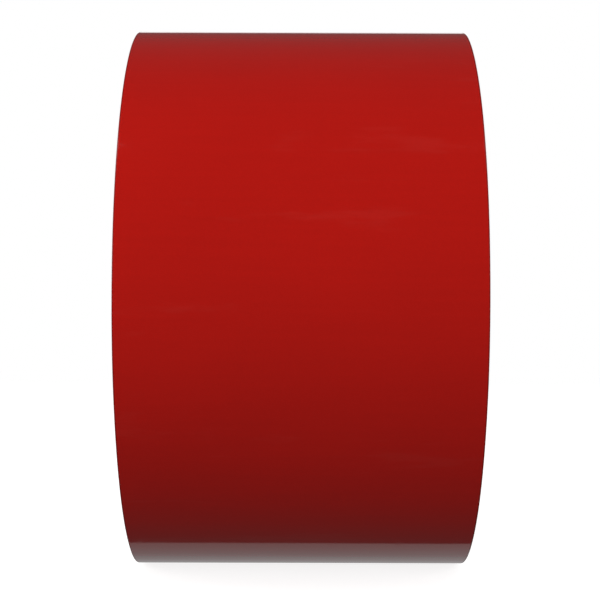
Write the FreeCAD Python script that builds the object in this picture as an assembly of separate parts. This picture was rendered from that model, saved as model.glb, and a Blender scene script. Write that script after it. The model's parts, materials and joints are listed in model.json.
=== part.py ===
"""A roll of gloss self-adhesive sign vinyl on a spiral-wound paperboard core, in millimetres.

The roll's axis is X and the origin is the middle of the core's bore. Angles round the roll start
at the top, +Z, and grow towards the back, +Y. The web is two strips wound together: the face film
with its adhesive, and the paper release liner under it. The last turn of the web is built layer by
layer, the turns below it are one solid, and the free end lies on the back of the roll, where it
lifts at one hinge and its film peels off the liner at a second one.
"""

import FreeCAD, Part
import math
import os

# The core: a standard 3 inch tube of glued paperboard plies.
core_bore_diameter = 76.2
core_wall = 6.35
face_ply_thickness = 0.5
body_ply_count = 8

# The web: a 4 inch wide, 50 yard long strip.
web_width = 101.6
web_length = 45720.0
film_thickness = 0.10
adhesive_thickness = 0.03
liner_thickness = 0.20
winding_air = 0.03

# The double-sided tape that starts the web on the core.
start_tape_thickness = 0.08
start_tape_length = 25.0
start_tape_margin = 4.0
start_tape_angle = 150.0

# The free end: where it leaves the roll, where its film starts to peel, and where it is cut off.
tail_root_angle = 12.0
peel_angle = 34.0
tail_end_angle = 70.0
tail_clearance = 0.20
lead_clearance = 0.15
crease_angle = 0.15

# Worked out from the sizes above.
core_bore_radius = core_bore_diameter / 2
core_radius = core_bore_radius + core_wall
body_ply_thickness = (core_wall - 2 * face_ply_thickness) / body_ply_count
web_thickness = film_thickness + adhesive_thickness + liner_thickness
turn_pitch = web_thickness + winding_air
roll_radius = math.sqrt(core_radius**2 + turn_pitch * web_length / math.pi)
half_width = web_width / 2

# The last turn is a spiral of two half circles, whose centres are half a pitch apart on the line
# through the cut end, so that the surface steps down by one pitch there.
half_turn = 180.0
full_turn = 360.0
seam_angle = tail_end_angle - half_turn
start_angle = tail_end_angle - full_turn


def ring(inner_radius, outer_radius):
    """A tube round the roll's axis, as long as the web is wide."""
    foot = FreeCAD.Vector(-half_width, 0, 0)
    along = FreeCAD.Vector(1, 0, 0)
    outside = Part.makeCylinder(outer_radius, web_width, foot, along)
    return outside.cut(Part.makeCylinder(inner_radius, web_width, foot, along))


def direction(angle):
    """The unit vector away from the axis at an angle from the top, towards the back."""
    turned = math.radians(angle)
    return FreeCAD.Vector(0, math.sin(turned), math.cos(turned))


def spiral_point(angle, depth, late):
    """A point of the last turn, a depth below its outer face, on its late or its early half."""
    side = 1 if late else -1
    centre = direction(tail_end_angle) * (side * turn_pitch / 4)
    radius = roll_radius + (side - 1) * turn_pitch / 4
    point = centre + direction(angle) * (radius - depth)
    point.x = -half_width
    return point


def half_arc(first_angle, last_angle, depth, late):
    """The arc between two angles on one half of the last turn."""
    middle = (first_angle + last_angle) / 2
    ends = [spiral_point(angle, depth, late) for angle in (first_angle, middle, last_angle)]
    return Part.Arc(*ends).toShape()


def spiral_arcs(first_angle, last_angle, depth):
    """The arcs of the last turn between two angles, divided where its two half circles meet."""
    arcs = []
    if first_angle < seam_angle:
        arcs.append(half_arc(first_angle, min(last_angle, seam_angle), depth, False))
    if last_angle > seam_angle:
        arcs.append(half_arc(max(first_angle, seam_angle), last_angle, depth, True))
    return arcs


def extruded(edges):
    """The solid between closed edges on the left end's plane and the right end's plane."""
    outline = Part.Wire(Part.__sortEdges__(edges))
    return Part.Face(outline).extrude(FreeCAD.Vector(web_width, 0, 0))


def cut_line(angle, outer_depth, inner_depth):
    """The straight cut across a strip at an angle."""
    late = angle > seam_angle
    outer = spiral_point(angle, outer_depth, late)
    return Part.makeLine(outer, spiral_point(angle, inner_depth, late))


def strip(first_angle, last_angle, outer_depth, thickness):
    """A stretch of one layer of the last turn: its outer face is outer_depth below the film's."""
    inner_depth = outer_depth + thickness
    edges = spiral_arcs(first_angle, last_angle, outer_depth)
    edges += spiral_arcs(first_angle, last_angle, inner_depth)
    edges.append(cut_line(first_angle, outer_depth, inner_depth))
    edges.append(cut_line(last_angle, outer_depth, inner_depth))
    return extruded(edges)


def layers(first_angle, last_angle, lift):
    """Film, adhesive and liner over one stretch, all raised by lift."""
    film = strip(first_angle, last_angle, -lift, film_thickness)
    adhesive = strip(first_angle, last_angle, film_thickness - lift, adhesive_thickness)
    liner_depth = film_thickness + adhesive_thickness - lift
    liner = strip(first_angle, last_angle, liner_depth, liner_thickness)
    return film, adhesive, liner


def core_plies():
    """The core's plies from the bore outwards, each a glued tube of its own."""
    inner_edge = core_bore_radius + face_ply_thickness
    plies = {"core_inner_ply": ring(core_bore_radius, inner_edge)}
    for number in range(1, body_ply_count + 1):
        outer_edge = inner_edge + body_ply_thickness
        plies[f"core_body_ply_{number}"] = ring(inner_edge, outer_edge)
        inner_edge = outer_edge
    plies["core_outer_ply"] = ring(inner_edge, core_radius)
    return plies


def core_start_tape():
    """The tape across the core that holds the first turn, a shallow arc on the outer ply."""
    half_angle = math.degrees(start_tape_length / core_radius) / 2
    top_radius = core_radius + start_tape_thickness
    places = {}
    for radius in (core_radius, top_radius):
        for step in (-1, 0, 1):
            point = direction(start_tape_angle + step * half_angle) * radius
            point.x = start_tape_margin - half_width
            places[radius, step] = point
    edges = []
    for radius in (core_radius, top_radius):
        edges.append(Part.Arc(*[places[radius, step] for step in (-1, 0, 1)]).toShape())
    for step in (-1, 1):
        edges.append(Part.makeLine(places[core_radius, step], places[top_radius, step]))
    outline = Part.Wire(Part.__sortEdges__(edges))
    tape_width = web_width - 2 * start_tape_margin
    return Part.Face(outline).extrude(FreeCAD.Vector(tape_width, 0, 0))


def wound_web(tape):
    """All turns below the last one, with the step where the last turn starts, round the core."""
    edges = spiral_arcs(start_angle, tail_end_angle, web_thickness)
    low_end = spiral_point(start_angle, web_thickness, False)
    high_end = spiral_point(tail_end_angle, web_thickness, True)
    edges.append(Part.makeLine(low_end, high_end))
    foot = FreeCAD.Vector(-half_width, 0, 0)
    core = Part.makeCylinder(core_radius, web_width, foot, FreeCAD.Vector(1, 0, 0))
    return extruded(edges).cut(core).cut(tape)


def outer_turn():
    """The last turn as far as the crease where the free end lifts."""
    film, adhesive, liner = layers(start_angle, tail_root_angle - crease_angle, 0)
    return {"outer_turn_film": film, "outer_turn_adhesive": adhesive, "outer_turn_liner": liner}


def free_end():
    """The tail, whose liner runs on to the cut, and the lead of film that peels off that liner."""
    film, adhesive, _ = layers(tail_root_angle, peel_angle - crease_angle, tail_clearance)
    liner = layers(tail_root_angle, tail_end_angle, tail_clearance)[2]
    lead_lift = tail_clearance + lead_clearance
    lead_film, lead_adhesive, _ = layers(peel_angle, tail_end_angle, lead_lift)
    return {
        "tail_film": film,
        "tail_adhesive": adhesive,
        "tail_liner": liner,
        "lead_film": lead_film,
        "lead_adhesive": lead_adhesive,
    }


def main():
    """Builds every node, writes one STEP file for each and prints the sizes that others need."""
    tape = core_start_tape()
    nodes = core_plies()
    nodes["core_start_tape"] = tape
    nodes["wound_web"] = wound_web(tape)
    nodes.update(outer_turn())
    nodes.update(free_end())
    os.makedirs("parts", exist_ok=True)
    for name, shape in nodes.items():
        if not shape.isValid() or len(shape.Solids) != 1:
            raise RuntimeError(f"{name} is not one valid solid")
        shape.exportStep(f"parts/{name}.step")
    tail_hinge = spiral_point(tail_root_angle, -tail_clearance, True)
    peel_hinge = spiral_point(peel_angle, -tail_clearance - lead_clearance, True)
    print(f"nodes {len(nodes)}, roll radius {roll_radius:.4f}")
    print(f"tail hinge y {tail_hinge.y:.4f} z {tail_hinge.z:.4f}")
    print(f"peel hinge y {peel_hinge.y:.4f} z {peel_hinge.z:.4f}")


main()
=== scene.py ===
"""A roll of gloss red sign vinyl: its looks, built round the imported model.

The web is film, adhesive and release liner wound as one spiral on a paperboard core. Angles round
the roll are in radians from the top, +Z, towards the back, +Y, and keep counting down turn by turn
towards the core. Everything is in metres. The file is laid out as an add-on and run as a script.
"""

import json
import math

import bpy
import numpy as np
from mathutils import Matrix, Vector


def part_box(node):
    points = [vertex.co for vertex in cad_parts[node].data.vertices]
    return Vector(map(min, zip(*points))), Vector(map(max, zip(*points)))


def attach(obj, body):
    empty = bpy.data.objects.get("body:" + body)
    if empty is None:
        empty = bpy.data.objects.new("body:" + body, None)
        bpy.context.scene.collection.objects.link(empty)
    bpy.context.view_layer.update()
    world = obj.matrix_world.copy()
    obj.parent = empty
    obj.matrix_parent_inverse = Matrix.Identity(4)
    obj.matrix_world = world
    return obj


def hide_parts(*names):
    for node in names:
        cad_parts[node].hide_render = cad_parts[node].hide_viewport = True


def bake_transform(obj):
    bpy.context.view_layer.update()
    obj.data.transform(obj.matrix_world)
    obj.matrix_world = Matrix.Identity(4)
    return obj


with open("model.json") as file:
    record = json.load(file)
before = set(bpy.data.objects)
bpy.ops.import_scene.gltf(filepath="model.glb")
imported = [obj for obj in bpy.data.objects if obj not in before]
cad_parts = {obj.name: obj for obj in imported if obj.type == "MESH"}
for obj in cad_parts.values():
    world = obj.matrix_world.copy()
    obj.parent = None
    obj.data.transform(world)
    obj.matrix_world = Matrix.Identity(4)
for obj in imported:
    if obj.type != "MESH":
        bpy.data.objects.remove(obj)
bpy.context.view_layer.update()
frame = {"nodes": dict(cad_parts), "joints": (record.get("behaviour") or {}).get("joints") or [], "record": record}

bl_info = {
    "name": "Roll of sign vinyl",
    "version": (1, 0, 0),
    "blender": (4, 5, 0),
    "location": "View3D > Sidebar > Sign vinyl",
    "description": "Builds a wound roll of self-adhesive vinyl on its core, layer by layer",
    "category": "Object",
}

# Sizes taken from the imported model.
TAU = 2 * math.pi
HALF_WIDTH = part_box("wound_web")[1].x
WEB_HALF_WIDTH = HALF_WIDTH - 0.00010
CORE_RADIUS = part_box("core_outer_ply")[1].z
MOUNTS = {mount["name"]: mount["dims"] for mount in frame["record"]["mounts"]}
BORE_RADIUS = MOUNTS["core_bore"]["r_mm"] / 1000
BODY_INNER_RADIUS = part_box("core_inner_ply")[1].z
BODY_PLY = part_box("core_body_ply_1")[1].z - BODY_INNER_RADIUS
BOTTOM_RADIUS = -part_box("outer_turn_film")[0].z - 0.00006
BOTTOM_ANGLE = -math.pi
TAIL_HINGE = next(j for j in frame["joints"] if j["name"] == "tail_lift")["pos_m"]
PEEL_HINGE = next(j for j in frame["joints"] if j["name"] == "film_peel")["pos_m"]
ROOT_ANGLE = math.atan2(TAIL_HINGE[1], TAIL_HINGE[2])
PEEL_ANGLE = math.atan2(PEEL_HINGE[1], PEEL_HINGE[2])
CUT_ANGLE = math.atan2(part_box("tail_liner")[1].y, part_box("tail_liner")[0].z)
LAST_TURN_ANGLE = CUT_ANGLE - TAU


# ---------------------------------------------------------------- settings


class WebSettings(bpy.types.PropertyGroup):
    """The layers of the web and how it lies."""

    film_thickness: bpy.props.FloatProperty(
        name="Film thickness", description="Thickness of the face film", default=0.00010,
        unit="LENGTH", precision=5)
    adhesive_thickness: bpy.props.FloatProperty(
        name="Adhesive thickness", description="Thickness of the adhesive coat", default=0.00003,
        unit="LENGTH", precision=5)
    liner_thickness: bpy.props.FloatProperty(
        name="Liner thickness", description="Thickness of the release liner", default=0.00020,
        unit="LENGTH", precision=5)
    air: bpy.props.FloatProperty(
        name="Air", description="Air wound in between one turn and the next", default=0.00003,
        unit="LENGTH", precision=5)
    tape_thickness: bpy.props.FloatProperty(
        name="Tape thickness", description="Room for the tape under the first turn",
        default=0.00008, unit="LENGTH", precision=5)
    ripple: bpy.props.FloatProperty(
        name="Ripple", description="Height of the slow waves in the outer film", default=0.000016,
        unit="LENGTH", precision=6)
    edge_drop: bpy.props.FloatProperty(
        name="Edge drop", description="How far the knife-cut edge of the outer film rolls down",
        default=0.00005, unit="LENGTH", precision=5)
    edge_width: bpy.props.FloatProperty(
        name="Edge width", description="Width of the rolled-down edge", default=0.00032,
        unit="LENGTH", precision=5)
    wander: bpy.props.FloatProperty(
        name="Edge wander", description="How far the turns stand out sideways from each other",
        default=0.00007, unit="LENGTH", precision=5)
    tail_gap: bpy.props.FloatProperty(
        name="Tail gap", description="Gap under the free end", default=0.00012,
        unit="LENGTH", precision=5)
    lead_gap: bpy.props.FloatProperty(
        name="Lead gap", description="Gap between the loose film and its liner", default=0.00005,
        unit="LENGTH", precision=5)
    end_lift: bpy.props.FloatProperty(
        name="End lift", description="How far the cut end springs away from the roll",
        default=0.0006, unit="LENGTH", precision=5)
    crease_length: bpy.props.FloatProperty(
        name="Crease length", description="Length over which the web bends where it lifts",
        default=0.011, unit="LENGTH", precision=4)


class CoreSettings(bpy.types.PropertyGroup):
    """The plies of the core."""

    lead: bpy.props.FloatProperty(
        name="Ply lead", description="How far a ply runs along the tube in one turn",
        default=0.112, unit="LENGTH")
    seam_gap: bpy.props.FloatProperty(
        name="Seam gap", description="Gap between the edges of a ply", default=0.0006,
        unit="LENGTH", precision=5)
    saw_marks: bpy.props.FloatProperty(
        name="Saw marks", description="How unevenly the plies were cut at the tube's ends",
        default=0.00012, unit="LENGTH", precision=5)


class FinishSettings(bpy.types.PropertyGroup):
    """The colours and gloss of each material."""

    film: bpy.props.FloatVectorProperty(
        name="Film", description="Colour of the face film", size=3, subtype="COLOR",
        default=(0.445, 0.0062, 0.0030), min=0, max=1)
    film_roughness: bpy.props.FloatProperty(
        name="Film roughness", description="Roughness of the gloss film", default=0.045,
        subtype="FACTOR", min=0, max=1)
    adhesive: bpy.props.FloatVectorProperty(
        name="Adhesive", description="Colour of the adhesive coat", size=3, subtype="COLOR",
        default=(0.52, 0.47, 0.38), min=0, max=1)
    liner: bpy.props.FloatVectorProperty(
        name="Liner", description="Colour of the release liner", size=3, subtype="COLOR",
        default=(0.80, 0.78, 0.72), min=0, max=1)
    board: bpy.props.FloatVectorProperty(
        name="Board", description="Colour of the core's inner plies", size=3, subtype="COLOR",
        default=(0.30, 0.215, 0.14), min=0, max=1)
    face_board: bpy.props.FloatVectorProperty(
        name="Face board", description="Colour of the core's two face plies", size=3,
        subtype="COLOR", default=(0.42, 0.31, 0.20), min=0, max=1)
    tape: bpy.props.FloatVectorProperty(
        name="Tape", description="Colour of the start tape", size=3, subtype="COLOR",
        default=(0.66, 0.62, 0.50), min=0, max=1)


class StageSettings(bpy.types.PropertyGroup):
    """The floor, the lights and the camera."""

    floor_size: bpy.props.FloatProperty(
        name="Floor size", description="Radius of the floor", default=14.0, unit="LENGTH")
    light: bpy.props.FloatProperty(
        name="Light", description="Strength of every softbox", default=1.0, min=0)
    ambient: bpy.props.FloatProperty(
        name="Ambient", description="Light that reaches the roll from all round", default=0.09,
        min=0)
    camera_distance: bpy.props.FloatProperty(
        name="Camera distance", description="From the roll's axis to the camera",
        default=5.65 * BOTTOM_RADIUS, unit="LENGTH")
    sideways: bpy.props.FloatProperty(
        name="Sideways", description="How far the camera stands to the right", default=-0.00025,
        unit="LENGTH", precision=5)
    lens: bpy.props.FloatProperty(
        name="Lens", description="Focal length of the camera", default=88.4, unit="CAMERA")
    pitch: bpy.props.FloatProperty(
        name="Pitch", description="How far the camera looks up", default=math.radians(-0.078),
        unit="ROTATION")
    roll: bpy.props.FloatProperty(
        name="Roll", description="How far the camera is turned about its own axis",
        default=math.radians(-0.157), unit="ROTATION")


# ---------------------------------------------------------------- shader maths


class Value:
    """A socket that varies over a surface. A sum or product of values adds the Math nodes."""

    def __init__(self, graph, socket):
        self.graph = graph
        self.socket = socket

    def __add__(self, other):
        return self.graph.math("ADD", self, other)

    def __sub__(self, other):
        return self.graph.math("SUBTRACT", self, other)

    def __rsub__(self, other):
        return self.graph.math("SUBTRACT", other, self)

    def __mul__(self, other):
        return self.graph.math("MULTIPLY", self, other)

    def __truediv__(self, other):
        return self.graph.math("DIVIDE", self, other)

    __radd__ = __add__
    __rmul__ = __mul__


class Graph:
    """The node tree of a material or of the world."""

    def __init__(self, tree):
        self.tree = tree
        tree.nodes.clear()

    def add(self, kind, settings=None, sockets=None, output=0):
        """Adds a node: its settings first, then the values or links of its sockets."""
        node = self.tree.nodes.new(kind)
        for name, setting in (settings or {}).items():
            setattr(node, name, setting)
        for name, given in (sockets or {}).items():
            if isinstance(given, Value):
                self.tree.links.new(given.socket, node.inputs[name])
            else:
                node.inputs[name].default_value = given
        return Value(self, node.outputs[output]) if node.outputs else None

    def math(self, operation, *terms):
        """One Math node on values and numbers."""
        return self.add("ShaderNodeMath", {"operation": operation}, dict(enumerate(terms)))

    def mix(self, share, low, high):
        """A colour between two, by a share from 0 to 1."""
        sockets = {0: share, 6: low, 7: high}
        return self.add("ShaderNodeMix", {"data_type": "RGBA"}, sockets, output=2)

    def within(self, value, low, high, soft):
        """1 where a value lies between low and high, and 0 outside, over a soft edge."""
        settings = {"interpolation_type": "SMOOTHSTEP"}
        rise = {0: value, 1: low - soft, 2: low + soft}
        fall = {0: value, 1: high - soft, 2: high + soft}
        rising = self.add("ShaderNodeMapRange", settings, rise)
        falling = self.add("ShaderNodeMapRange", settings, fall)
        return rising * (1 - falling)

    def place(self, stretch=(1, 1, 1)):
        """Object coordinates, each multiplied by a number, so that a pattern can be drawn out."""
        at = self.add("ShaderNodeTexCoord", output="Object")
        return self.add("ShaderNodeMapping", {}, {"Vector": at, "Scale": stretch})

    def noise(self, at, scale, detail=2.0, roughness=0.5):
        """Noise from 0 to 1, with scale features a metre."""
        sockets = {"Vector": at, "Scale": scale, "Detail": detail, "Roughness": roughness}
        return self.add("ShaderNodeTexNoise", {}, sockets)

    def radius(self):
        """Distance from the roll's axis, in metres."""
        across_axis = {0: self.place((0, 1, 1))}
        return self.add("ShaderNodeVectorMath", {"operation": "LENGTH"}, across_axis, "Value")

    def rings(self, each_metre):
        """Noise that depends on the distance from the roll's axis alone: a tone for each turn."""
        at = self.add("ShaderNodeCombineXYZ", {}, {"X": self.radius() * each_metre})
        return self.noise(at, 1.0, 3.0, 0.75)

    def bump(self, height, distance):
        """A normal from a height from 0 to 1, where 1 stands a distance proud, in metres."""
        return self.add("ShaderNodeBump", {}, {"Height": height, "Distance": distance})


def tinted(colour, factor):
    """A colour as four numbers, lighter or darker by a factor."""
    return (*[min(1.0, c * factor) for c in colour], 1.0)


def new_material(name, surface):
    """A material whose Principled sockets are what surface(graph) gives."""
    material = bpy.data.materials.new(name)
    material.use_nodes = True
    graph = Graph(material.node_tree)
    shader = graph.add("ShaderNodeBsdfPrincipled", {}, surface(graph))
    graph.add("ShaderNodeOutputMaterial", {}, {"Surface": shader})
    return material


def gloss_film(painted_edge_shade):
    """Gloss vinyl coloured through: slow colour drift, fine grain, faint lines across the web from
    winding, fine orange peel, a few rubbed streaks, and faint smudges from handling. The argument
    is how far the knife-cut edges are darkened. That darkening is painted shade of the rolled-down
    edge, where the distance along the axis comes within the rolled edge's width of the web's side.
    Film with none of this painted shade also has a tone for each turn."""

    def surface(graph):
        finish = bpy.context.scene.vinyl_finish
        edge = bpy.context.scene.vinyl_web.edge_width
        drift = graph.noise(graph.place(), 22.0, 3.0)
        grain = graph.noise(graph.place(), 2300.0, 2.0, 0.7)
        lines = graph.noise(graph.place((0.045, 1, 1)), 620.0, 2.0)
        slow_lines = graph.noise(graph.place((0.10, 1, 1)), 120.0, 1.0)
        peel = graph.noise(graph.place(), 1900.0, 2.0)
        rubbed = graph.noise(graph.place((1, 0.35, 0.35)), 300.0, 3.0)
        streaks = graph.within(rubbed, 0.66, 1.2, 0.08)
        along = graph.add("ShaderNodeSeparateXYZ", {}, {0: graph.place()}, output="X")
        inner = HALF_WIDTH - 1.5 * edge
        cut = 1 - graph.within(along, -inner, inner, 0.4 * edge)
        smudge = graph.noise(graph.place((0.16, 1, 1)), 75.0, 4.0, 0.65)
        smudges = graph.within(smudge, 0.63, 2.0, 0.035)
        shade = drift * 0.30 + grain * 0.50 + lines * 0.20
        colour = graph.mix(shade, tinted(finish.film, 0.82), tinted(finish.film, 1.18))
        colour = graph.mix(smudges * 0.009, colour, (0.75, 0.40, 0.34, 1.0))
        # Painted shade: near the knife-cut edges the film is darkened towards a near-black red. This stands in for
        # the shade on the rolled-down edge.
        colour = graph.mix(cut * painted_edge_shade, colour, tinted(finish.film, 0.16))
        if not painted_edge_shade:
            dark, light = tinted(finish.film, 0.55), tinted(finish.film, 1.45)
            colour = graph.mix(graph.rings(620.0), dark, light)
        height = lines * 0.45 + slow_lines * 0.45 + peel * 0.20
        dull = drift * 0.02 + streaks * 0.05 + smudges * 0.03 + cut * 0.2
        return {
            "Base Color": colour,
            "Roughness": finish.film_roughness + dull,
            "IOR": 1.49,
            "Normal": graph.bump(height, 0.0000065),
        }

    return surface


def release_paper(graph):
    """Silicone-coated kraft paper: warm white, with paper fibres and a satin face."""
    finish = bpy.context.scene.vinyl_finish
    cloud = graph.noise(graph.place(), 160.0, 4.0, 0.6)
    fibre = graph.noise(graph.place((1, 0.35, 0.35)), 3000.0, 3.0, 0.6)
    colour = graph.mix(cloud, tinted(finish.liner, 0.93), tinted(finish.liner, 1.05))
    tone = graph.within(graph.rings(420.0), 0.46, 2.0, 0.16)
    colour = graph.mix(tone * 0.7, colour, tinted(finish.liner, 0.76))
    colour = graph.mix(fibre * 0.16, colour, tinted(finish.liner, 0.72))
    return {
        "Base Color": colour,
        "Roughness": 0.42 + cloud * 0.12,
        "Normal": graph.bump(fibre, 0.000008),
    }


def tacky_coat(graph):
    """Clear acrylic adhesive over the film's grey back: faintly mottled and slightly glossy."""
    finish = bpy.context.scene.vinyl_finish
    mottle = graph.noise(graph.place(), 700.0, 3.0, 0.6)
    colour = graph.mix(mottle, tinted(finish.adhesive, 0.90), tinted(finish.adhesive, 1.08))
    return {
        "Base Color": colour,
        "Roughness": 0.28 + mottle * 0.14,
        "Normal": graph.bump(mottle, 0.000006),
    }


def paperboard(shade, fuzz):
    """A finish of recycled paperboard of that setting's colour, with fibres along the ply, dark
    flecks and a fuzzy face."""

    def surface(graph):
        colour = getattr(bpy.context.scene.vinyl_finish, shade)
        cloud = graph.noise(graph.place(), 130.0, 4.0, 0.65)
        fibre = graph.noise(graph.place((0.45, 1, 1)), 1500.0, 4.0, 0.7)
        flecks = graph.within(graph.noise(graph.place((0.6, 1, 1)), 850.0, 1.0), 0.70, 1.2, 0.03)
        pulp = graph.mix(cloud, tinted(colour, 0.84), tinted(colour, 1.14))
        pulp = graph.mix(fibre * 0.45, pulp, tinted(colour, 1.45))
        pulp = graph.mix(flecks * 0.55, pulp, tinted(colour, 0.38))
        if shade == "board":
            ply = (graph.radius() - BODY_INNER_RADIUS) / BODY_PLY
            glue = 1 - graph.within(graph.math("FRACT", ply), 0.10, 0.90, 0.07)
            pulp = graph.mix(glue * 0.85, pulp, tinted(colour, 0.30))
        return {
            "Base Color": pulp,
            "Roughness": 0.78 + fibre * 0.14,
            "Normal": graph.bump(fibre * 0.7 + cloud * 0.3, fuzz),
        }

    return surface


def start_tape_finish(graph):
    """Double-sided tape: yellowish tissue with creases in the adhesive."""
    finish = bpy.context.scene.vinyl_finish
    creases = graph.noise(graph.place((0.3, 1, 1)), 420.0, 3.0, 0.6)
    colour = graph.mix(creases, tinted(finish.tape, 0.86), tinted(finish.tape, 1.1))
    return {
        "Base Color": colour,
        "Roughness": 0.34 + creases * 0.2,
        "Normal": graph.bump(creases, 0.00002),
    }


def white_floor(graph):
    """A pale floor that is mostly its own light, so that shadows on it stay soft and faint. About
    a metre away from the roll it fades into the white behind it."""
    at = graph.place()
    mottle = graph.noise(at, 3.0, 2.0)
    away = graph.add("ShaderNodeVectorMath", {"operation": "LENGTH"}, {0: at}, output="Value")
    fade = graph.within(away, 0.75, 1000.0, 0.45)
    near = graph.mix(mottle, (0.30, 0.30, 0.30, 1.0), (0.33, 0.33, 0.325, 1.0))
    return {
        "Base Color": graph.mix(fade, near, (0.0, 0.0, 0.0, 1.0)),
        "Emission Color": graph.mix(fade, (0.86, 0.86, 0.86, 1.0), (1.0, 1.0, 1.0, 1.0)),
        "Emission Strength": 1.0,
        "Roughness": 1.0,
        "Specular IOR Level": 0.0,
    }


FINISHES = {
    # Half strength of painted shade on the knife-cut edges of the outer film.
    "gloss_red_film": gloss_film(0.50),
    "wound_red_film": gloss_film(0.0),
    "release_liner_paper": release_paper,
    "acrylic_adhesive": tacky_coat,
    "kraft_board": paperboard("board", 0.00008),
    "smooth_face_board": paperboard("face_board", 0.00003),
    "start_tape_tissue": start_tape_finish,
    "pale_floor": white_floor,
}


def finish_named(name):
    """The material of that name, made when it is first asked for."""
    return bpy.data.materials.get(name) or new_material(name, FINISHES[name])


# ---------------------------------------------------------------- surfaces


def new_piece(name, points, faces, material):
    """A mesh object of these points and quads, smooth but for its sharp edges."""
    mesh = bpy.data.meshes.new(name)
    mesh.vertices.add(len(points))
    mesh.vertices.foreach_set("co", points.astype(np.float32).ravel())
    mesh.loops.add(faces.size)
    mesh.loops.foreach_set("vertex_index", faces.astype(np.int32).ravel())
    mesh.polygons.add(len(faces))
    mesh.polygons.foreach_set("loop_start", np.arange(0, faces.size, 4, dtype=np.int32))
    mesh.update(calc_edges=True)
    mesh.validate()
    mesh.shade_smooth()
    mesh.set_sharp_from_angle(angle=math.radians(35))
    mesh.materials.append(finish_named(material))
    piece = bpy.data.objects.new(name, mesh)
    bpy.context.scene.collection.objects.link(piece)
    return piece


def closed_slab(name, outer, inner, material):
    """A closed slab between two grids of points. Each grid's rows run round the roll and its
    columns along the axis. The outer face, the inner face turned over, and one ring of quads
    between the two grids' borders make the surface."""
    rows, columns = outer.shape[:2]
    count = rows * columns
    number = np.arange(count).reshape(rows, columns)
    corners = (number[:-1, :-1], number[:-1, 1:], number[1:, 1:], number[1:, :-1])
    face = np.stack([corner.ravel() for corner in corners], axis=1)
    border = np.concatenate([number[0], number[1:, -1], number[-1, -2::-1], number[-2:0:-1, 0]])
    ahead = np.roll(border, -1)
    rim = np.stack([ahead, border, border + count, ahead + count], axis=1)
    points = np.concatenate([outer.reshape(-1, 3), inner.reshape(-1, 3)])
    return new_piece(name, points, np.concatenate([face, face[:, ::-1] + count, rim]), material)


def on_roll(angle, radius, along):
    """Points at an angle from the top, a radius from the axis and a place along the axis."""
    angle, radius, along = np.broadcast_arrays(angle, radius, along)
    return np.stack([along, radius * np.sin(angle), radius * np.cos(angle)], axis=-1)


def pitch():
    """How much the radius grows in one turn: the web's thickness and the air between turns."""
    web = bpy.context.scene.vinyl_web
    return web.film_thickness + web.adhesive_thickness + web.liner_thickness + web.air


def film_radius(angle):
    """The radius of the film's face on a spiral that grows by one pitch a turn."""
    return BOTTOM_RADIUS + pitch() * (angle - BOTTOM_ANGLE) / TAU


def edge_wander(angle):
    """How far the web stands to the right at an angle: waves of one turn to forty turns."""
    draw = np.random.default_rng(11)
    total = 0.0
    for turns, share in ((1.0, 0.16), (2.7, 0.14), (5.3, 0.20), (13.0, 0.24), (41.0, 0.26)):
        total = total + share * np.sin(angle / turns + draw.uniform(0, TAU))
    return bpy.context.scene.vinyl_web.wander * total


def ripple(angle, across):
    """Height of the slow waves in the outer film. They run nearly along the axis: each is a sine
    of the angle whose phase leans and bends a little from edge to edge."""
    draw = np.random.default_rng(5)
    total = 0.0
    for waves in (9, 14, 22, 31, 47, 68):
        lean, bend = draw.uniform(-1, 1), draw.uniform(0.2, 0.9)
        phase, bow = draw.uniform(0, TAU, 2)
        shape = waves * angle + phase + lean * 1.4 * across + bend * np.sin(1.7 * across + bow)
        total = total + (9 / waves) ** 0.9 * np.sin(shape)
    return bpy.context.scene.vinyl_web.ripple * total


def rolled_edge(across):
    """How far the outer film's face drops at its cut edges: a quarter circle drawn out flat."""
    web = bpy.context.scene.vinyl_web
    inwards = np.clip((np.abs(across) - 1) * HALF_WIDTH / web.edge_width + 1, 0, 1)
    return web.edge_drop * (1 - np.sqrt(1 - inwards**2))


def tail_lift(angle, across):
    """How far the free end stands off the roll: nothing at its root, a small even gap after the
    crease, and a curl that grows with the square of the way to the cut end."""
    web = bpy.context.scene.vinyl_web
    crease = web.crease_length / BOTTOM_RADIUS
    away = np.clip((angle - ROOT_ANGLE) / crease, 0, 1)
    curl = np.clip((angle - CUT_ANGLE) / math.radians(26) + 1, 0, 1) ** 2
    uneven = 1 + 0.28 * across + 0.22 * across**2
    return web.tail_gap * away**2 * (3 - 2 * away) + web.end_lift * curl * uneven


def lead_lift(angle, across):
    """The free end's lift, and the gap that opens over the peeling film's crease."""
    web = bpy.context.scene.vinyl_web
    crease = web.crease_length / BOTTOM_RADIUS
    away = np.clip((angle - PEEL_ANGLE) / crease, 0, 1)
    return tail_lift(angle, across) + web.lead_gap * away**2 * (3 - 2 * away)


def no_lift(angle, across):
    """A stretch that lies on the roll."""
    return np.zeros(np.broadcast(angle, across).shape)


def columns_across(count):
    """Places across the web from -1 to 1, close together at the two rolled-down edges."""
    edge = bpy.context.scene.vinyl_web.edge_width / HALF_WIDTH
    rounding = 1 - edge * np.array([0.0, 0.03, 0.12, 0.3, 0.6, 1.0, 1.5])
    middle = np.linspace(-rounding[-1], rounding[-1], count)
    return np.concatenate([-rounding[:-1], middle, rounding[-2::-1]])


def layer_depths(layer):
    """How far a layer's outer and inner faces lie below the film's face."""
    web = bpy.context.scene.vinyl_web
    film = web.film_thickness
    adhesive = film + web.adhesive_thickness
    return {
        "film": (0.0, film),
        "adhesive": (film, adhesive),
        "liner": (adhesive, adhesive + web.liner_thickness),
    }[layer]


LAYER_FINISH = {
    "film": ("gloss_red_film", "red_film"),
    "adhesive": ("acrylic_adhesive", "adhesive"),
    "liner": ("release_liner_paper", "release_paper"),
}


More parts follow.
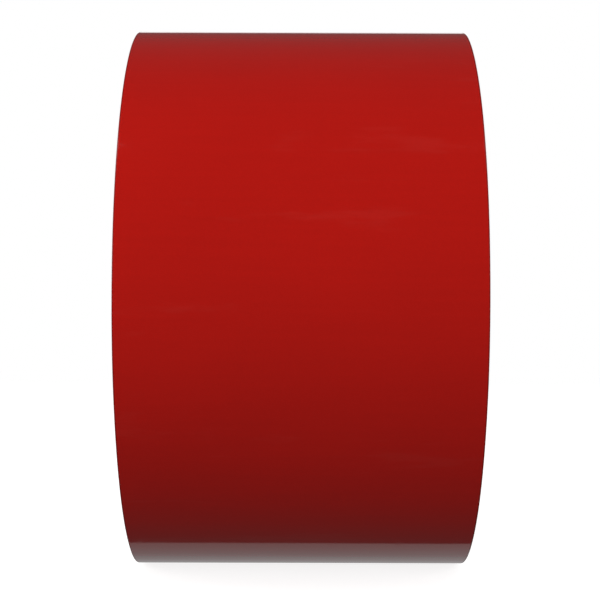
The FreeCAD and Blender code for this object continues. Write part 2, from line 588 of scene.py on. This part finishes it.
def web_stretch(name, layer, first, last, lift):
    """One layer of the web between two angles on the last turn or the free end. Its faces are the
    spiral less the layer's depth, raised by lift, and the film's outer face also carries the
    ripple and the rolled edge. The cut at the free end is a little out of square."""
    outer_depth, inner_depth = layer_depths(layer)
    fine = layer == "film"
    across = columns_across(41 if fine else 9)[None, :]
    steps = max(96, round((last - first) / math.radians(0.5)))
    angle = np.linspace(first, last, steps + 1)[:, None]
    if last == CUT_ANGLE:
        skew = (0.0004 / BOTTOM_RADIUS) * across
        angle = angle + skew * ((angle - first) / (last - first)) ** 4
    along = across * WEB_HALF_WIDTH + edge_wander(angle)
    raised = film_radius(angle) + lift(angle, across)
    outer = raised - outer_depth
    if fine:
        outer = outer + ripple(angle, across) - rolled_edge(across)
    finish, slot = LAYER_FINISH[layer]
    slab = closed_slab(
        name, on_roll(angle, outer, along), on_roll(angle, raised - inner_depth, along), finish
    )
    return slab


def crease_end(hinge, lift):
    """The point of the film's face, in the middle of the web, where a crease ends."""
    crease = bpy.context.scene.vinyl_web.crease_length / BOTTOM_RADIUS
    angle = math.atan2(hinge[1], hinge[2]) + crease
    radius = film_radius(angle) + float(lift(np.array(angle), np.array(0.0)))
    return angle, (0.0, radius * math.sin(angle), radius * math.cos(angle))


# ---------------------------------------------------------------- pieces


class VINYL_OT_core(bpy.types.Operator):
    """Build the core: ten plies of paperboard, each a strip wound into a tube"""

    bl_idname = "vinyl.core"
    bl_label = "Core"

    def execute(self, context):
        nodes = ["core_inner_ply"]
        nodes += [f"core_body_ply_{number}" for number in range(1, 9)]
        nodes.append("core_outer_ply")
        draw = np.random.default_rng(3)
        inner = BORE_RADIUS
        for node in nodes:
            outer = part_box(node)[1].z
            is_face = node in (nodes[0], nodes[-1])
            seam = draw.uniform(-math.pi, math.pi)
            cut = 0.00005 + context.scene.vinyl_core.saw_marks * draw.uniform(0, 1, 2)
            ply = self.wound_ply(node, inner, outer, seam, cut, is_face)
            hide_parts(node)
            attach(ply, "roll")
            inner = outer
        return {"FINISHED"}

    @staticmethod
    def wound_ply(node, inner, outer, seam, cut, is_face):
        """A tube slit along a helix. The angle of the slit grows evenly along the axis, and the
        ply runs once round from one side of the slit to the other. Its edges are worn round."""
        core = bpy.context.scene.vinyl_core
        steps, rows = (120, 110) if is_face else (96, 56)
        share = np.linspace(0, 1, steps + 1)[:, None]
        ends = np.array([0.0, 0.0015, 0.005])
        middle = np.linspace(ends[-1], 1 - ends[-1], rows)
        across = np.concatenate([ends[:-1], middle, 1 - ends[-2::-1]])[None, :]
        along = cut[0] - HALF_WIDTH + across * (2 * HALF_WIDTH - cut[0] - cut[1])
        gap = core.seam_gap / inner
        angle = seam + TAU * along / core.lead + gap / 2 + share * (TAU - gap)
        worn = 0.00010 * np.clip(1 - np.minimum(across, 1 - across) / ends[-1], 0, 1) ** 2
        worn = worn + 0.00008 * np.clip(1 - np.minimum(share, 1 - share) * 60, 0, 1) ** 2
        at_ends = np.abs(across - 0.5) > 0.499
        along = along + 0.00004 * np.sin(23 * angle + 9 * seam) * at_ends
        name = node.replace("core_", "wound_")
        finish = "smooth_face_board" if is_face else "kraft_board"
        outer_face = on_roll(angle, outer - worn, along)
        return closed_slab(name, outer_face, on_roll(angle, inner + worn, along), finish)


class VINYL_OT_start_tape(bpy.types.Operator):
    """Give the tape that starts the web on the core its finish"""

    bl_idname = "vinyl.start_tape"
    bl_label = "Start tape"

    def execute(self, context):
        tape = frame["nodes"]["core_start_tape"]
        tape.data.materials.clear()
        tape.data.materials.append(finish_named("start_tape_tissue"))
        return {"FINISHED"}


class VINYL_OT_windings(bpy.types.Operator):
    """Wind every turn below the last one: film, adhesive and liner as three real spirals"""

    bl_idname = "vinyl.windings"
    bl_label = "Windings"

    def execute(self, context):
        web = context.scene.vinyl_web
        bottom = CORE_RADIUS + web.tape_thickness + pitch() - web.air
        first = BOTTOM_ANGLE + TAU * (bottom - BOTTOM_RADIUS) / pitch()
        steps = round((LAST_TURN_ANGLE - first) / TAU * 120)
        angle = np.linspace(first, LAST_TURN_ANGLE, steps + 1)[:, None]
        across = np.array([[-1.0, 1.0]])
        draw = np.random.default_rng(23)
        # A layer's faces are the spiral less its depths. Its two sides follow the web's wander,
        # and stand out by a slow sine of the angle that differs from layer to layer.
        for layer in LAYER_FINISH:
            outer_depth, inner_depth = layer_depths(layer)
            proud = 0.000012 * np.sin(angle * draw.uniform(0.31, 0.47) + draw.uniform(0, TAU))
            along = across * (WEB_HALF_WIDTH + proud) + edge_wander(angle)
            finish, slot = LAYER_FINISH[layer]
            if layer == "film":
                finish = "wound_red_film"
            turns = closed_slab(
                f"wound_{layer}",
                on_roll(angle, film_radius(angle) - outer_depth, along),
                on_roll(angle, film_radius(angle) - inner_depth, along),
                finish,
            )
            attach(turns, "roll")
            if layer == "film":
                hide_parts("wound_web")
        return {"FINISHED"}


class VINYL_OT_last_turn(bpy.types.Operator):
    """Lay the last turn of film, adhesive and liner up to where the free end lifts"""

    bl_idname = "vinyl.last_turn"
    bl_label = "Last turn"

    def execute(self, context):
        for layer in LAYER_FINISH:
            name = f"{layer}_last_turn"
            piece = web_stretch(name, layer, LAST_TURN_ANGLE, ROOT_ANGLE, no_lift)
            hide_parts(f"outer_turn_{layer}")
            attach(piece, "roll")
        return {"FINISHED"}


class VINYL_OT_free_end(bpy.types.Operator):
    """Build the free end: the crease where it lifts, its film and adhesive, and its liner"""

    bl_idname = "vinyl.free_end"
    bl_label = "Free end"

    def execute(self, context):
        crease_angle, crease_point = crease_end(TAIL_HINGE, tail_lift)
        for layer in LAYER_FINISH:
            name = f"{layer}_lifting_crease"
            crease = web_stretch(name, layer, ROOT_ANGLE, crease_angle, tail_lift)
            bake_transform(crease)
            last = CUT_ANGLE if layer == "liner" else PEEL_ANGLE
            flap = web_stretch(f"{layer}_free_end", layer, crease_angle, last, tail_lift)
            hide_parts(f"tail_{layer}")
            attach(flap, "tail")
        return {"FINISHED"}


class VINYL_OT_peeling_film(bpy.types.Operator):
    """Build the end of the film that peels off its liner, with its crease"""

    bl_idname = "vinyl.peeling_film"
    bl_label = "Peeling film"

    def execute(self, context):
        crease_angle, crease_point = crease_end(PEEL_HINGE, lead_lift)
        for layer in ("film", "adhesive"):
            name = f"{layer}_peeling_crease"
            crease = web_stretch(name, layer, PEEL_ANGLE, crease_angle, lead_lift)
            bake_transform(crease)
            end = web_stretch(f"{layer}_peeling_end", layer, crease_angle, CUT_ANGLE, lead_lift)
            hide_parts(f"lead_{layer}")
            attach(end, "film_lead")
        return {"FINISHED"}


# ---------------------------------------------------------------- stage


class VINYL_OT_stage(bpy.types.Operator):
    """Set up the pale floor, the soft lights, the surroundings and the camera"""

    bl_idname = "vinyl.stage"
    bl_label = "Stage"

    def execute(self, context):
        stage = context.scene.vinyl_stage
        self.floor(stage)
        for softbox in SOFTBOXES:
            self.softbox(stage.light, *softbox)
        self.surroundings(context.scene, stage)
        self.camera(context.scene, stage)
        context.scene.view_settings.view_transform = "Standard"
        return {"FINISHED"}

    @staticmethod
    def floor(stage):
        """A flat disc under the roll: rings of points at radii that grow from the middle."""
        turn = np.linspace(0, TAU, 65)[:, None]
        radius = stage.floor_size * np.linspace(0.001, 1, 24)[None, :] ** 2
        level = np.full((65, 24), -BOTTOM_RADIUS - FLOOR_GAP)
        top = np.stack([radius * np.sin(turn), radius * np.cos(turn), level], axis=-1)
        floor = closed_slab("floor", top, top - np.array([0, 0, 0.01]), "pale_floor")
        floor.visible_glossy = False
        floor.visible_diffuse = False

    @staticmethod
    def softbox(strength, name, azimuth, elevation, width, height, power):
        """A rectangular area light that faces the roll. Azimuth 0 is the camera's side. The camera
        doesn't see it, but the gloss of the film does."""
        light = bpy.data.lights.new(name, "AREA")
        light.shape = "RECTANGLE"
        light.size = width
        light.size_y = height
        light.energy = power * strength
        lamp = bpy.data.objects.new(name, light)
        a, e = math.radians(azimuth), math.radians(elevation)
        towards = np.array([math.sin(a) * math.cos(e), -math.cos(a) * math.cos(e), math.sin(e)])
        lamp.location = towards * LIGHT_DISTANCE
        lamp.rotation_euler = (math.pi / 2 - e, 0, a)
        lamp.visible_camera = False
        bpy.context.scene.collection.objects.link(lamp)

    @staticmethod
    def surroundings(scene, stage):
        """A plain world: one even grey that lights the roll from all round, and white where the
        camera sees past the floor."""
        world = bpy.data.worlds.new("studio")
        scene.world = world
        world.use_nodes = True
        graph = Graph(world.node_tree)
        seen = graph.add("ShaderNodeLightPath", output="Is Camera Ray")
        colour = graph.mix(seen, (stage.ambient,) * 3 + (1.0,), (1.0, 1.0, 1.0, 1.0))
        background = graph.add("ShaderNodeBackground", {}, {"Color": colour})
        graph.add("ShaderNodeOutputWorld", {}, {"Surface": background})

    @staticmethod
    def camera(scene, stage):
        """A camera square on to the roll's axis, level with it."""
        camera = bpy.data.objects.new("camera", bpy.data.cameras.new("camera"))
        camera.data.sensor_width = 36
        camera.data.lens = stage.lens
        camera.location = (stage.sideways, -stage.camera_distance, 0)
        camera.rotation_euler = (math.pi / 2 + stage.pitch, stage.roll, 0)
        camera.data.clip_end = 100
        scene.collection.objects.link(camera)
        scene.camera = camera


FLOOR_GAP = 0.00005
LIGHT_DISTANCE = 0.95

# The lights, all white: name, azimuth and elevation in degrees, width, height and power. Two long
# boxes stand at the sides, two small ones above them, two behind, and a pair of rim lights
# straight behind the roll. The low one is under the floor, and shows only in the film's gloss.
SOFTBOXES = [
    ("left", -68, 11, 1.7, 0.5, 13.8),
    ("right", 68, 11, 1.7, 0.5, 8.0),
    ("upper_left", -47, 50, 0.45, 0.45, 1.7),
    ("upper_right", 47, 50, 0.45, 0.45, 0.8),
    ("back_left", -128, 10, 0.8, 0.8, 5.0),
    ("back_right", 128, 10, 0.8, 0.8, 5.0),
    ("rim_high", 180, 12, 0.9, 0.40, 0.95),
    ("rim_low", 180, -33, 0.9, 0.86, 0.84),
]


class VINYL_PT_panel(bpy.types.Panel):
    """The roll's settings and the buttons that build it."""

    bl_idname = "VINYL_PT_panel"
    bl_label = "Sign vinyl"
    bl_space_type = "VIEW_3D"
    bl_region_type = "UI"
    bl_category = "Sign vinyl"

    def draw(self, context):
        for holder in SETTINGS:
            box = self.layout.box()
            settings = getattr(context.scene, holder)
            for name in type(settings).__annotations__:
                box.prop(settings, name)
        for operator in OPERATORS:
            self.layout.operator(operator.bl_idname)


SETTINGS = {
    "vinyl_web": WebSettings,
    "vinyl_core": CoreSettings,
    "vinyl_finish": FinishSettings,
    "vinyl_stage": StageSettings,
}
OPERATORS = (
    VINYL_OT_stage,
    VINYL_OT_core,
    VINYL_OT_start_tape,
    VINYL_OT_windings,
    VINYL_OT_last_turn,
    VINYL_OT_free_end,
    VINYL_OT_peeling_film,
)


def register():
    """Registers the settings, the operators and the panel."""
    for holder, group in SETTINGS.items():
        bpy.utils.register_class(group)
        setattr(bpy.types.Scene, holder, bpy.props.PointerProperty(type=group))
    for operator in OPERATORS:
        bpy.utils.register_class(operator)
    bpy.utils.register_class(VINYL_PT_panel)


def unregister():
    """Takes back what register() added."""
    bpy.utils.unregister_class(VINYL_PT_panel)
    for operator in reversed(OPERATORS):
        bpy.utils.unregister_class(operator)
    for holder, group in reversed(SETTINGS.items()):
        delattr(bpy.types.Scene, holder)
        bpy.utils.unregister_class(group)


def main():
    """Builds the whole roll."""
    register()
    for operator in OPERATORS:
        family, name = operator.bl_idname.split(".")
        getattr(getattr(bpy.ops, family), name)()


if __name__ == "__main__":
    main()
